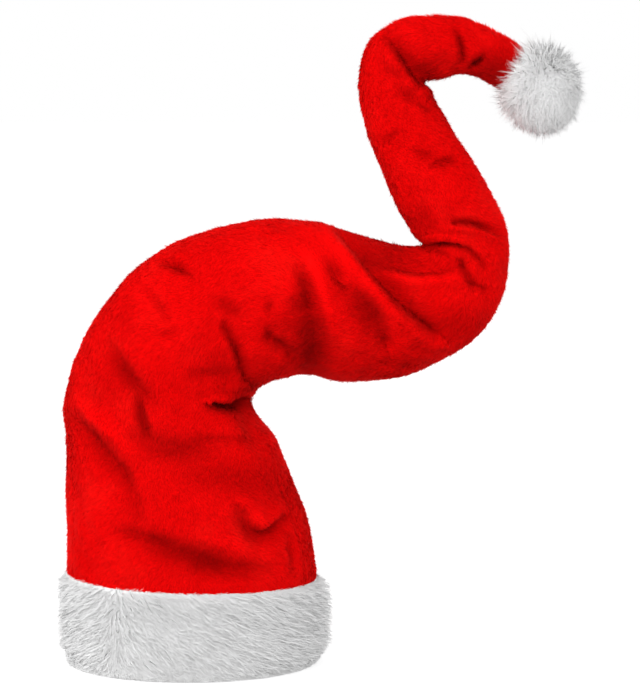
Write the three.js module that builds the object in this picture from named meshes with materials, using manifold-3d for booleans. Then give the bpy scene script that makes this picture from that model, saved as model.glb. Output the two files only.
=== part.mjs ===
// A long santa hat that stands on its rim: a hollow red plush crown whose tail is bent into an S,
// a white fur band round the head opening, and a white fur pompom on the tail's tip.
// Millimetres, +Z up. The front is -Y. The origin is the bottom centre of the hat's bounding box.

import * as THREE from "three";
import { mergeVertices } from "three/addons/utils/BufferGeometryUtils.js";
import Module from "manifold-3d";

const wasm = await Module();
wasm.setup();

// Driving sizes
const headLength = 206; // head opening, left to right
const headBreadth = 164; // head opening, front to back
const clothThickness = 2.2; // plush cloth with its pile pressed down
const sewnGap = 0.3; // between pieces that are sewn together
const bandHeight = 78; // fur band, from the floor to its top edge
const bandThickness = 9.0; // fur band without the tips of its locks, at the front
const bandUneven = 0.25; // share by which the band is thicker at its right end and thinner at its left
const bandTilt = 0.09; // share by which the band is lower at its right end than at its left
const hemLap = 16; // how far the crown's hem runs down behind the band
const crownRise = 461; // band's top edge to the top of the tail's upper bend
const tailReach = 269; // head's axis to the end of the tail, sideways
const tailBreadth = 78; // tail tube, seen from the front
const tailDepth = 60; // tail tube, front to back
const foldDepth = 12; // deepest fold in the cloth
const foldWidth = 12; // half width of a wide fold
const lockLength = 34; // lock of fur on the band
const lockWidth = 16;
const lockHeight = 2; // how far a lock's back stands up from its sides
const lockLift = 3.2; // how far a lock's tip stands off the band
const pompomDiameter = 58; // pompom's ball under its locks, across
const pompomStretch = 1.14; // the pompom's height, as a share of its width
const pompomPile = 6.5; // how far the pompom's locks stand out of the ball
const pompomLockLength = 15; // with the part of it that is inside the ball
const pompomLockWidth = 15;
const pompomSeat = 13; // how deep the tail's tip sits in the pompom
const bendRoom = 5; // length added to the crown's middle line at each row, so that bends get more rings

// Mesh fineness
const roundSteps = 28; // round the crown and the band
const ringCount = 62; // along the crown
const foldSteps = 8; // along a fold
const bandLockRows = 4;
const bandLocksPerRow = 21;
const pompomLocks = 50;
const pompomBallDetail = 2;
const socketRings = 12;
const frontBunching = 0.15; // how much closer the corners of the crown's rings are at its front and back

// The crown's sections, from the band to the tail's tip. Each lies in an upright plane through a
// point: side is a share of tailReach, rise a share of crownRise. hold says where on the section
// the point is, from -1 at its left end to 1 at its right end, so that a bend keeps its inner
// corner. lean is the section's slope in degrees, body its size as a share of the head opening's
// with the cloth, and tail the share of the tail's section that is added to that.
const sections = [
  { side: 0.0, rise: 0.0, hold: 0, lean: 0, body: 1.0, tail: 0.0 },
  { side: -0.017, rise: 0.102, hold: 0, lean: 0, body: 0.957, tail: 0.0 },
  { side: -0.052, rise: 0.208, hold: 0, lean: 0, body: 0.866, tail: 0.0 },
  { side: -0.073, rise: 0.258, hold: 0, lean: -1, body: 0.815, tail: 0.0 },
  { side: 0.199, rise: 0.303, hold: 1, lean: -3, body: 0.75, tail: 0.0 },
  { side: 0.194, rise: 0.314, hold: 1, lean: -14, body: 0.68, tail: 0.12 },
  { side: 0.218, rise: 0.334, hold: 1, lean: -27, body: 0.62, tail: 0.22 },
  { side: 0.277, rise: 0.348, hold: 1, lean: -43, body: 0.57, tail: 0.37 },
  { side: 0.345, rise: 0.354, hold: 1, lean: -59, body: 0.48, tail: 0.54 },
  { side: 0.415, rise: 0.417, hold: 0.5, lean: -71, body: 0.42, tail: 0.71 },
  { side: 0.537, rise: 0.484, hold: 0, lean: -75, body: 0.3, tail: 0.87 },
  { side: 0.652, rise: 0.54, hold: -0.5, lean: -72, body: 0.13, tail: 1.03 },
  { side: 0.686, rise: 0.591, hold: -1, lean: -60, body: 0, tail: 1.21 },
  { side: 0.708, rise: 0.592, hold: -1, lean: -37, body: 0, tail: 1.06 },
  { side: 0.702, rise: 0.6, hold: -1, lean: -15, body: 0, tail: 1.0 },
  { side: 0.677, rise: 0.616, hold: -1, lean: 0, body: 0, tail: 1.03 },
  { side: 0.718, rise: 0.653, hold: -0.5, lean: 5, body: 0, tail: 1.05 },
  { side: 0.745, rise: 0.714, hold: 0, lean: 7, body: 0, tail: 1.0 },
  { side: 0.692, rise: 0.773, hold: 0, lean: 5, body: 0, tail: 0.92 },
  { side: 0.715, rise: 0.827, hold: 0.5, lean: 3, body: 0, tail: 0.86 },
  { side: 0.745, rise: 0.865, hold: 1, lean: -2, body: 0, tail: 0.79 },
  { side: 0.732, rise: 0.878, hold: 1, lean: -18, body: 0, tail: 0.74 },
  { side: 0.735, rise: 0.881, hold: 1, lean: -44, body: 0, tail: 0.765 },
  { side: 0.766, rise: 0.885, hold: 1, lean: -63, body: 0, tail: 0.74 },
  { side: 0.816, rise: 0.921, hold: 0.5, lean: -79, body: 0, tail: 0.64 },
  { side: 0.886, rise: 0.938, hold: 0, lean: -97, body: 0, tail: 0.56 },
  { side: 0.954, rise: 0.918, hold: 0, lean: -105, body: 0, tail: 0.53 },
  { side: 0.994, rise: 0.904, hold: 0, lean: -111, body: 0, tail: 0.47 },
  { side: 1.014, rise: 0.896, hold: 0, lean: -118, body: 0, tail: 0.32 },
  { side: 1.031, rise: 0.887, hold: 0, lean: -122, body: 0, tail: 0.2 },
];
const tipRow = sections.length - 1;

// The folds. A fold runs between two places, each a row of the table above, with fractions between
// rows, and a share across from -1 at the left edge to 1 at the right edge. bow is how far it bends
// to its left, as a share of its length. width is a share of foldWidth and depth one of foldDepth;
// a depth below zero makes a ridge. lip is the height of the cloth pushed up beside the fold, as a
// share of foldDepth, on its left if above zero and on its right if below.
const frontFolds = [
  { from: [4.9, 0.98], to: [4.35, 0.53], bow: 0, width: 0.6, depth: 1.1, lip: -0.5 },
  { from: [7.2, 0.1], to: [6.3, 0.8], bow: 0.03, width: 0.5, depth: 0.6, lip: -0.15 },
  { from: [5.45, -0.65], to: [4.45, -0.1], bow: -0.05, width: 0.65, depth: 0.6, lip: 0 },
  { from: [4.25, -0.2], to: [3.2, -0.15], bow: 0, width: 0.5, depth: 0.65, lip: 0 },
  { from: [3.05, -0.2], to: [2.6, 0.35], bow: -0.06, width: 0.8, depth: 0.45, lip: 0 },
  { from: [3.4, -0.85], to: [1.95, -0.45], bow: 0, width: 0.65, depth: 0.6, lip: 0 },
  { from: [4.0, -0.8], to: [2.45, -0.3], bow: 0, width: 0.6, depth: -0.3, lip: 0 },
  { from: [1.8, 0.3], to: [1.45, 0.9], bow: 0.05, width: 1.0, depth: 0.3, lip: 0 },
  { from: [1.22, 0.53], to: [1.08, 0.9], bow: -0.4, width: 0.5, depth: 0.7, lip: 0.35 },
  { from: [0.9, -0.45], to: [0.8, -0.15], bow: 0, width: 0.65, depth: 0.4, lip: 0 },
  { from: [0.7, -0.2], to: [0.55, 0.25], bow: 0, width: 0.8, depth: 0.55, lip: 0 },
  { from: [0.45, 0.15], to: [0.3, 0.6], bow: 0, width: 0.7, depth: 0.4, lip: 0 },
  { from: [0.75, 0.85], to: [0.25, 0.85], bow: 0, width: 0.5, depth: 0.35, lip: 0 },
  { from: [7.2, -0.9], to: [7.4, -0.65], bow: 0, width: 0.5, depth: 0.4, lip: 0 },
  { from: [9.05, -0.45], to: [8.95, 0.3], bow: 0.04, width: 0.65, depth: 0.7, lip: 0 },
  { from: [8.95, 0.15], to: [8.45, 0.95], bow: 0.03, width: 1.0, depth: 1.1, lip: 0 },
  { from: [9.25, -0.65], to: [9.3, 0.3], bow: 0.05, width: 0.5, depth: -0.35, lip: 0 },
  { from: [7.95, 0.45], to: [8.15, 0.75], bow: 0.05, width: 0.6, depth: 0.5, lip: 0 },
  { from: [9.6, -0.55], to: [9.7, -0.3], bow: 0, width: 0.5, depth: 0.5, lip: 0 },
  { from: [9.8, -0.25], to: [10.2, 0.4], bow: 0.08, width: 0.85, depth: 0.8, lip: 0.25 },
  { from: [9.9, -1.0], to: [11.3, 0.5], bow: -0.03, width: 0.6, depth: 0.75, lip: -0.4 },
  { from: [10.35, -0.75], to: [13.55, -0.05], bow: -0.09, width: 0.6, depth: 0.55, lip: -0.4 },
  { from: [13.6, -0.1], to: [13.05, 0.3], bow: 0, width: 0.45, depth: 0.5, lip: 0.1 },
  { from: [14.0, -0.9], to: [14.5, -0.1], bow: 0.08, width: 0.45, depth: 0.7, lip: 0.3 },
  { from: [15.5, -0.05], to: [14.95, 0.8], bow: 0.1, width: 0.45, depth: 0.5, lip: -0.15 },
  { from: [17.4, 0.1], to: [17.4, 0.65], bow: 0.04, width: 0.5, depth: 0.4, lip: 0 },
  { from: [22.2, -0.75], to: [21.4, 0.95], bow: -0.03, width: 0.6, depth: 0.8, lip: -0.4 },
  { from: [24.2, -0.5], to: [24.3, 0.6], bow: 0.06, width: 0.45, depth: 0.45, lip: 0 },
  { from: [24.75, 0.7], to: [25.3, 0], bow: 0, width: 0.5, depth: 0.7, lip: 0 },
];
const backFolds = [
  { from: [3.95, 1.05], to: [3.85, 0.45], bow: 0.05, width: 0.6, depth: 1.1, lip: -0.6 },
  { from: [6.8, 0.0], to: [4.9, 0.9], bow: 0.1, width: 0.7, depth: 0.6, lip: -0.2 },
  { from: [5.6, -0.5], to: [3.2, -0.05], bow: -0.08, width: 0.9, depth: 0.6, lip: 0.25 },
  { from: [2.8, -0.6], to: [1.3, 0.1], bow: 0.05, width: 1.0, depth: 0.5, lip: 0.2 },
  { from: [1.2, 0.3], to: [0.9, 0.85], bow: -0.25, width: 0.7, depth: 0.5, lip: 0.25 },
  { from: [0.9, -0.75], to: [0.2, -0.1], bow: 0.08, width: 1.4, depth: 0.4, lip: 0.1 },
  { from: [9.0, -0.4], to: [8.2, 1.0], bow: -0.08, width: 1.0, depth: 1.0, lip: 0.2 },
  { from: [9.75, -1.0], to: [11.5, 0.6], bow: 0.06, width: 0.8, depth: 0.8, lip: -0.4 },
  { from: [10.6, -0.5], to: [13.2, -0.05], bow: -0.1, width: 0.8, depth: 0.6, lip: -0.35 },
  { from: [13.5, -1.0], to: [14.3, 0.2], bow: -0.1, width: 0.5, depth: 0.8, lip: 0.3 },
  { from: [15.4, -0.2], to: [15.0, 0.8], bow: 0.1, width: 0.6, depth: 0.5, lip: 0 },
  { from: [17.9, -0.5], to: [17.0, 0.4], bow: 0.1, width: 0.9, depth: 0.35, lip: 0 },
  { from: [22.0, -0.9], to: [21.0, 1.0], bow: 0.04, width: 0.6, depth: 0.9, lip: -0.45 },
  { from: [24.8, -0.3], to: [24.5, 0.9], bow: -0.1, width: 0.5, depth: 0.6, lip: 0 },
];
const foldEnd = 0.08; // share of a fold's shape that is cut off at each end
const lipPlace = 1.5; // from the fold's line to the top of its lip, in widths
const flatRows = 0.35; // rows above the band over which the folds grow to their full relief
const edgeRelief = 0.25; // share of a fold's relief that is left at the crown's left and right edges
const edgeSpan = 0.45; // share of the depth over which that relief grows to the whole
const frontBlend = 0.35; // share of the depth over which front folds give way to back folds

// The fur band's outside, from the floor up. up is a share of bandHeight, out one of bandThickness.
const bandProfile = [
  { up: 0.0, out: 0.5 },
  { up: 0.07, out: 0.8 },
  { up: 0.22, out: 1.0 },
  { up: 0.6, out: 1.0 },
  { up: 0.85, out: 0.85 },
  { up: 1.0, out: 0.42 },
];

const turn = 2 * Math.PI;
const wrap = (value) => value - Math.floor(value);

// The corners of the crown's rings stand closer at the front and the back, where the folds are.
const ringAngles = Array.from({ length: roundSteps }, (_, k) => {
  const even = (turn * k) / roundSteps;
  return even + frontBunching * Math.sin(2 * even);
});

// A fixed scatter between 0 and 1 that looks random.
function scatter(index, salt) {
  return wrap(Math.sin(index * 12.9898 + salt * 78.233) * 43758.5453);
}

// A smooth curve through one column of the section table.
function column(name, row) {
  const at = Math.min(Math.max(row, 0), tipRow);
  const i = Math.min(Math.floor(at), tipRow - 1);
  const t = at - i;
  const [a, b, c, d] = [i - 1, i, i + 1, i + 2].map(
    (k) => sections[Math.min(Math.max(k, 0), tipRow)][name],
  );
  return b + 0.5 * t * (c - a + t * (2 * a - 5 * b + 4 * c - d + t * (3 * (b - c) + d - a)));
}

// The section at a row: its centre, its direction across, its half sizes across and in depth, and
// the share of the folds' relief that it takes.
function sectionAt(row) {
  const body = column("body", row);
  const tail = column("tail", row);
  const across = body * (headLength / 2 + clothThickness) + tail * (tailBreadth / 2);
  const deep = body * (headBreadth / 2 + clothThickness) + tail * (tailDepth / 2);
  const lean = THREE.MathUtils.degToRad(column("lean", row));
  const along = new THREE.Vector3(Math.cos(lean), 0, Math.sin(lean));
  const point = new THREE.Vector3(
    column("side", row) * tailReach,
    0,
    bandHeight + column("rise", row) * crownRise,
  );
  const centre = point.addScaledVector(along, -column("hold", row) * across);
  const relief = THREE.MathUtils.smoothstep(row, 0, flatRows);
  return { centre, along, across, deep, relief };
}

// A place on the crown as seen from the front, as an x and z.
function frontPlace([row, share]) {
  const { centre, along, across } = sectionAt(row);
  return new THREE.Vector2(centre.x + share * across * along.x, centre.z + share * across * along.z);
}

// A fold's line as seen from the front, cut into short straight steps.
function foldLine(fold) {
  const start = frontPlace(fold.from);
  const end = frontPlace(fold.to);
  const run = end.clone().sub(start);
  const bent = start.clone().add(end).multiplyScalar(0.5);
  bent.add(new THREE.Vector2(-run.y, run.x).multiplyScalar(2 * fold.bow));
  const line = new THREE.QuadraticBezierCurve(start, bent, end).getPoints(foldSteps);
  return { ...fold, line };
}

// How far the cloth moves out at a point seen from the front.
function foldRelief({ line, width, depth, lip }, point) {
  let nearest = { gap: Infinity };
  for (let i = 0; i < foldSteps; i++) {
    const run = line[i + 1].clone().sub(line[i]);
    const off = point.clone().sub(line[i]);
    const t = THREE.MathUtils.clamp(off.dot(run) / run.lengthSq(), 0, 1);
    const side = Math.sign(run.cross(off)) || 1;
    const gap = off.addScaledVector(run, -t).length();
    if (gap < nearest.gap) nearest = { gap, side, share: (i + t) / foldSteps };
  }
  const fade = Math.sqrt(Math.sin(Math.PI * THREE.MathUtils.lerp(foldEnd, 1 - foldEnd, nearest.share)));
  const away = (nearest.side * nearest.gap) / (width * foldWidth);
  const valley = Math.exp(-(away ** 2));
  const ridge = Math.exp(-((away * Math.sign(lip) - lipPlace) ** 2));
  return fade * foldDepth * (Math.abs(lip) * ridge - depth * valley);
}

const foldLines = [
  { facing: -1, folds: frontFolds.map(foldLine) },
  { facing: 1, folds: backFolds.map(foldLine) },
];

// One point of the crown's section, moved in or out by the folds and by grow.
function crownPoint(section, angle, grow) {
  const { centre, along, across, deep } = section;
  const c = Math.cos(angle);
  const s = Math.sin(angle);
  const point = centre.clone().addScaledVector(along, across * c).setY(deep * s);
  const seen = new THREE.Vector2(point.x, point.z);
  let moved = 0;
  for (const { facing, folds } of foldLines) {
    const share = THREE.MathUtils.smoothstep(facing * s, -frontBlend, frontBlend);
    if (share > 0) for (const fold of folds) moved += share * foldRelief(fold, seen);
  }
  const fromEdge = THREE.MathUtils.smoothstep(Math.abs(s), 0, edgeSpan);
  moved *= section.relief * THREE.MathUtils.lerp(edgeRelief, 1, fromEdge);
  const normal = new THREE.Vector2(c / across, s / deep).normalize().multiplyScalar(moved + grow);
  return point.addScaledVector(along, normal.x).setY(point.y + normal.y);
}

const ringAt = (row, grow) => ringAngles.map((angle) => crownPoint(sectionAt(row), angle, grow));

// A plain ring of the crown's first section, at height z.
function hemRing(z, grow) {
  const { across, deep } = sectionAt(0);
  return ringAngles.map((angle) => {
    const [c, s] = [Math.cos(angle), Math.sin(angle)];
    const normal = new THREE.Vector2(c / across, s / deep).normalize().multiplyScalar(grow);
    return new THREE.Vector3(across * c + normal.x, deep * s + normal.y, z);
  });
}

// A mesh through rings of equal length, each joined to the next, and the last to the first if
// closed is true. Otherwise a fan closes each end.
function skin(rings, closed = false) {
  const size = rings[0].length;
  const points = rings.flat();
  const index = [];
  for (let r = 0; r < rings.length - (closed ? 0 : 1); r++) {
    const next = (r + 1) % rings.length;
    for (let k = 0; k < size; k++) {
      const [a, b] = [r * size + k, r * size + ((k + 1) % size)];
      const [c, d] = [next * size + ((k + 1) % size), next * size + k];
      index.push(a, b, c, a, c, d);
    }
  }
  const ends = closed ? [] : [0, rings.length - 1];
  for (const r of ends) {
    const centre = rings[r].reduce((sum, p) => sum.add(p), new THREE.Vector3()).divideScalar(size);
    const fan = points.push(centre) - 1;
    for (let k = 0; k < size; k++) {
      const [a, b] = [r * size + k, r * size + ((k + 1) % size)];
      index.push(...(r === 0 ? [b, a, fan] : [a, b, fan]));
    }
  }
  return new THREE.BufferGeometry().setFromPoints(points).setIndex(index);
}

// three.js geometry to a manifold solid and back.
function toSolid(geometry) {
  const plain = geometry.clone();
  plain.deleteAttribute("normal");
  plain.deleteAttribute("uv");
  const merged = mergeVertices(plain, 1e-4);
  return new wasm.Manifold(
    new wasm.Mesh({
      numProp: 3,
      vertProperties: new Float32Array(merged.attributes.position.array),
      triVerts: new Uint32Array(merged.index.array),
    }),
  );
}

function toGeometry(solid) {
  const mesh = solid.getMesh();
  const geometry = new THREE.BufferGeometry();
  geometry.setAttribute("position", new THREE.BufferAttribute(mesh.vertProperties, 3));
  geometry.setIndex(new THREE.BufferAttribute(mesh.triVerts, 1));
  return geometry;
}

const loft = (rings) => toSolid(skin(rings));
const join = (solids) => wasm.Manifold.union(solids);

// Rows for the crown's rings, evenly spread along its middle line and closer in its bends.
function spreadRows() {
  const steps = 10 * tipRow;
  const reached = [0];
  for (let i = 1; i <= steps; i++) {
    const [from, to] = [i - 1, i].map((k) => frontPlace([(tipRow * k) / steps, 0]));
    reached.push(reached[i - 1] + from.distanceTo(to) + (bendRoom * tipRow) / steps);
  }
  return Array.from({ length: ringCount }, (_, i) => {
    const wanted = (reached[steps] * i) / (ringCount - 1);
    const next = Math.max(1, reached.findIndex((length) => length >= wanted - 1e-9));
    const part = (wanted - reached[next - 1]) / (reached[next] - reached[next - 1]);
    return (tipRow * (next - 1 + part)) / steps;
  });
}

// The crown: a cloth shell from the hem behind the band to the tail's tip, open at the hem. Its
// inside ends one ring before its outside.
const hemBottom = bandHeight - hemLap;
const crownRows = spreadRows();
function crownSolid() {
  const outside = crownRows.map((row) => ringAt(row, 0));
  const inside = crownRows.slice(0, -1).map((row) => ringAt(row, -clothThickness));
  const cavity = loft([hemRing(0, -clothThickness), ...inside]);
  return loft([hemRing(hemBottom, 0), ...outside]).subtract(cavity);
}

// A lock of fur: thin at its root and its tip, widest between them, with a ridge along its back.
const lockBelly = 0.45; // from the root to its widest place, as a share of its length
function lock(root, tip, out, width, height) {
  const run = tip.clone().sub(root);
  const across = run.clone().cross(out).normalize();
  const belly = root.clone().addScaledVector(run, lockBelly);
  const points = [
    root,
    belly.clone().addScaledVector(across, width / 2),
    belly.clone().addScaledVector(out, height),
    belly.clone().addScaledVector(across, -width / 2),
    tip,
  ];
  const faces = [0, 1, 2, 0, 2, 3, 0, 3, 1, 4, 2, 1, 4, 3, 2, 4, 1, 3];
  return toSolid(new THREE.BufferGeometry().setFromPoints(points).setIndex(faces));
}

// The fur band's top edge, from the floor, at an angle round the head.
const bandTop = (angle) => bandHeight * (1 - (bandTilt / 2) * (1 + Math.cos(angle)));

// A point on the fur band's outside and the direction straight out of it.
function bandPlace(angle, z) {
  const up = THREE.MathUtils.clamp(z / bandTop(angle), 0, 1);
  const i = Math.max(1, bandProfile.findIndex((p) => p.up >= up));
  const [low, high] = [bandProfile[i - 1], bandProfile[i]];
  const [c, s] = [Math.cos(angle), Math.sin(angle)];
  const thickness = bandThickness * (1 + bandUneven * c);
  const out = THREE.MathUtils.mapLinear(up, low.up, high.up, low.out, high.out) * thickness;
  const normal = new THREE.Vector3(c / headLength, s / headBreadth, 0).normalize();
  const onHead = new THREE.Vector3((headLength / 2) * c, (headBreadth / 2) * s, z);
  return { point: onHead.addScaledVector(normal, out), normal };
}

// The band's cut, seen along the band: up its inside and down its outside.
function bandRing(angle) {
  const outside = bandProfile.map(({ up }) => bandPlace(angle, up * bandTop(angle)).point);
  const inside = [0, bandTop(angle)].map((z) => {
    return new THREE.Vector3((headLength / 2) * Math.cos(angle), (headBreadth / 2) * Math.sin(angle), z);
  });
  return [...inside, ...outside.reverse()];
}

// The fur parts left of the front and lies away from there on both sides, falling as it goes.
const partingAngle = THREE.MathUtils.degToRad(230);
const partingWidth = 1 / 9; // share of a turn on each side over which the fur swings to its full slant
const lockSlant = { least: 0.55, spread: 0.3 }; // how much of a lock's length runs sideways
const lockLengths = { least: 0.8, spread: 0.4 }; // shares of lockLength
const lockLifts = { least: 0.6, spread: 0.8 }; // shares of lockLift
const lockWander = 0.4; // share of the locks' spacing by which they stray
const lockTops = { highest: 0.98, lowest: 0.15 }; // roots of the top and bottom rows, as shares of the band
const lockRoot = 0.25; // how deep a root lies in the band, as a share of bandThickness
const drawn = ({ least, spread }, index, salt) => least + spread * scatter(index, salt);
function bandLock(row, k) {
  const index = row * bandLocksPerRow + k;
  const stray = lockWander * (scatter(index, 1) - 0.5);
  const angle = (turn * (k + (row % 2) / 2 + stray)) / bandLocksPerRow;
  const fromParting = wrap((angle - partingAngle) / turn + 0.5) - 0.5;
  const sideways = THREE.MathUtils.clamp(fromParting / partingWidth, -1, 1) * drawn(lockSlant, index, 2);
  const length = lockLength * drawn(lockLengths, index, 3);
  const up = THREE.MathUtils.lerp(lockTops.highest, lockTops.lowest, row / (bandLockRows - 1));
  const topZ = bandTop(angle) * up;
  const tipZ = topZ - length * Math.sqrt(1 - sideways ** 2);
  const tipAngle = angle + (length * sideways) / (headLength / 2);
  const { point: root, normal } = bandPlace(angle, topZ);
  const { point: tip, normal: tipNormal } = bandPlace(tipAngle, tipZ);
  root.addScaledVector(normal, -lockRoot * bandThickness);
  tip.addScaledVector(tipNormal, lockLift * drawn(lockLifts, index, 4)).setZ(tipZ);
  return lock(root, tip, normal.clone().add(tipNormal).normalize(), lockWidth, lockHeight);
}

// The fur band with its locks, cut flat at the floor, with a groove for the crown's hem.
function brimSolid() {
  const rings = Array.from({ length: roundSteps }, (_, k) => bandRing((turn * k) / roundSteps));
  const parts = [toSolid(skin(rings, true))];
  for (let row = 0; row < bandLockRows; row++) {
    for (let k = 0; k < bandLocksPerRow; k++) parts.push(bandLock(row, k));
  }
  const groove = loft([hemRing(hemBottom - sewnGap, sewnGap), hemRing(2 * bandHeight, sewnGap)]);
  const head = loft([hemRing(-bandHeight, -clothThickness), hemRing(bandHeight, -clothThickness)]);
  const floor = new THREE.BoxGeometry(4 * headLength, 4 * headLength, bandHeight);
  floor.translate(0, 0, -bandHeight / 2);
  return join(parts).subtract(groove).subtract(head).subtract(toSolid(floor));
}

// The pompom: an upright ball with locks all round, but for where the tail goes in, and a socket
// for the tail's tip.
const pompomLockBend = 0.6; // how far a lock's tip strays to a side, as a share of its reach
const tailSide = -0.72; // locks that point more towards the tail than this are left out
function pompomSolid() {
  const tip = sectionAt(tipRow);
  const axis = new THREE.Vector3(-tip.along.z, 0, tip.along.x);
  const centre = tip.centre.clone().addScaledVector(axis, pompomDiameter / 2 - pompomSeat);
  const ball = new THREE.IcosahedronGeometry(pompomDiameter / 2, pompomBallDetail);
  const parts = [toSolid(ball)];
  for (let i = 0; i < pompomLocks; i++) {
    const height = 1 - (2 * i + 1) / pompomLocks;
    const around = i * Math.PI * (3 - Math.sqrt(5));
    const ray = new THREE.Vector3().setFromSphericalCoords(1, Math.acos(height), around);
    if (ray.dot(axis) < tailSide) continue;
    const bent = new THREE.Vector3(scatter(i, 5) - 0.5, scatter(i, 6) - 0.5, scatter(i, 7) - 0.5);
    const reach = pompomDiameter / 2 + pompomPile * drawn(lockLifts, i, 8);
    const root = ray.clone().multiplyScalar(reach - pompomLockLength);
    const end = bent.multiplyScalar(pompomLockBend).add(ray).setLength(reach);
    const out = ray.cross(bent).normalize();
    parts.push(lock(root, end, out, pompomLockWidth, pompomLockWidth / 2));
  }
  const socket = crownRows.slice(-socketRings).map((row) => ringAt(row, sewnGap));
  const socketEnd = ringAt(tipRow, sewnGap).map((p) => p.addScaledVector(axis, sewnGap));
  const shaped = join(parts).scale([1, 1, pompomStretch]).translate(centre.toArray());
  return shaped.subtract(loft([...socket, socketEnd]));
}

const plush = new THREE.MeshStandardMaterial({ color: 0xd80a0a, roughness: 0.9, metalness: 0 });
const fur = new THREE.MeshStandardMaterial({ color: 0xe6e6e6, roughness: 0.95, metalness: 0 });

function piece(name, geometry, material) {
  const mesh = new THREE.Mesh(geometry, material);
  mesh.name = name;
  return mesh;
}

const hat = new THREE.Group();
hat.add(piece("crown", toGeometry(crownSolid()), plush));
hat.add(piece("brim", toGeometry(brimSolid()), fur.clone()));
hat.add(piece("pompom", toGeometry(pompomSolid()), fur.clone()));

// The origin is the bottom centre of the hat's box.
const box = new THREE.Box3().setFromObject(hat);
const middle = box.getCenter(new THREE.Vector3());
for (const mesh of hat.children) mesh.position.set(-middle.x, -middle.y, -box.min.z);

export default hat;
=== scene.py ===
# A long santa hat that stands on its rim: a red plush crown whose tail is bent into an S, a white
# fur band round the head opening and a white fur pompom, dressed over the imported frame.
# Metres, +Z up. The front is -Y.

import math

import bpy
import numpy as np
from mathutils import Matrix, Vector
from mathutils.kdtree import KDTree


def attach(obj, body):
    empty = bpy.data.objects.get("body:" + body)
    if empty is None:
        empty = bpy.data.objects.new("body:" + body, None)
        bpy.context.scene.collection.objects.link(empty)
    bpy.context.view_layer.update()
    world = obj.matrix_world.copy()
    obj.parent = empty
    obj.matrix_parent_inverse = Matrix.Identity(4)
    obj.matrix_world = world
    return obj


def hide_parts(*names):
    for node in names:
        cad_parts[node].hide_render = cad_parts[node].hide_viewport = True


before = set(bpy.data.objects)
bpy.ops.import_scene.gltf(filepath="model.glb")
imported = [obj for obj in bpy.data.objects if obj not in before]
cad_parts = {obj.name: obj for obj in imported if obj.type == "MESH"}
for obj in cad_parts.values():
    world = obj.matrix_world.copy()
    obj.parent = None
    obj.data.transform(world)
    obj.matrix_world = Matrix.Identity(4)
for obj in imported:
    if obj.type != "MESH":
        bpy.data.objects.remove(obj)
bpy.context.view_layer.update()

# Sizes of the hat
HEAD_LENGTH = 0.206  # head opening, left to right
HEAD_BREADTH = 0.164  # head opening, front to back
CLOTH = 0.0022  # thickness of the plush with its pile pressed down
BAND_HEIGHT = 0.078
BAND_THICKNESS = 0.0034  # the fur band's dense part at the front, over the crown's cloth
BAND_UNEVEN = 0.75  # share by which the band is thicker at its right end and thinner at its left
BAND_TILT = 0.09  # share by which the band is lower at its right end than at its left
HEM_LAP = 0.016  # how far the crown's hem runs down behind the band
CROWN_RISE = 0.461  # band's top edge to the top of the tail's upper bend
TAIL_REACH = 0.269  # head's axis to the end of the tail, sideways
TAIL_BREADTH = 0.078  # tail tube, seen from the front
TAIL_DEPTH = 0.060  # tail tube, front to back
FOLD_DEPTH = 0.012  # deepest fold in the cloth
FOLD_WIDTH = 0.012  # half width of a wide fold
PILE_LENGTH = 0.0036  # plush pile
POMPOM_AWAY = 0.016  # from the tail's end to the pompom's middle
POMPOM_STRETCH = 1.14  # the pompom's height, as a share of its width
PHOTO_SCALE = 0.0008283  # metres a pixel of the photograph
PHOTO_AXIS = 191  # the head's axis in the photograph, in pixels from its left edge
PHOTO_BAND_TOP = 572  # the band's top edge at its ends, in pixels from the photograph's top
PHOTO_MIDDLE = (321, 349)  # what the camera aims at, in pixels
VIEW_HEIGHT = 0.5825  # what the picture takes in at the hat's middle
CAMERA_DISTANCE = 2.2
CAMERA_PITCH = 6.2  # degrees down
HEM_BOTTOM = BAND_HEIGHT - HEM_LAP
PILE_INSET = 0.0010  # the pile's roots, behind the crown's outline
CLOTH_INSET = 0.0016  # cloth under the pile
LINING_INSET = 0.0042
PILE_WIDTH = 0.0007
PILE_LIFT = 13  # degrees by which the pile's blades rise from the cloth
PILE_STRAYS = 0.06  # share of the blades that rise further
PILE_ROOT = 0.0004  # how deep the blades' roots lie
PILE_SHADE = 0.06  # how much the blades differ in the light they take
PILE_TUFT_SHADE = 0.03
PILE_TONE = 0.03  # how much the blades differ in colour
CLOTH_PAINTED_SHADE = 0.80  # painted shade: the cloth under the pile is coloured this share of the pile's, for the pile's shade over it
HAIR_WIDTH = 0.00042
FUR_SHADE = 0.03  # how much the hairs differ in the light they take
FUR_TUFT_SHADE = 0.035
HAIR_LENGTH = 0.027  # the band's hair
HAIR_ROOT = 0.0006  # how deep the roots lie in the band's backing
HAIR_LIFT = 0.0015  # how far the hair's tips stand off the band
HAIR_DROP = 34  # degrees by which the hair falls from level
HAIR_GATHER = 0.12  # share of the way to its tuft's middle that a hair bends
HAIR_STRAYS = 0.05  # share of the hair that stands off a little more
FLYAWAYS = 0.07  # share of the hair that is short and stands far off
FLYAWAY_LIFT = (0.003, 0.009)
FLYAWAY_LENGTH = (0.008, 0.016)
FLYAWAY_WIDTH = 2.0  # beside the other hairs
EDGE_TUFTS = 0.008  # share of the hair that stands over the band's top edge
EDGE_LENGTH = (0.002, 0.005)
PARTING = math.radians(235)  # where the hair parts, as an angle round the band
PARTING_DROP = 14  # degrees by which the hair falls more steeply in the parting
PARTING_WIDTH = 0.08  # radians
CORE_INSET = 0.0022  # band's backing under its hair
CORE_TOP = 0.975  # share of the band's height that its backing reaches
FLOOR_GAP = 0.0006
RAGGED = 0.009  # how far over the floor the band's lowest hairs may end
POMPOM_CORE = 0.023  # radius of the pompom's backing
POMPOM_ROOT = 0.001  # how deep its hairs' roots lie
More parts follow.
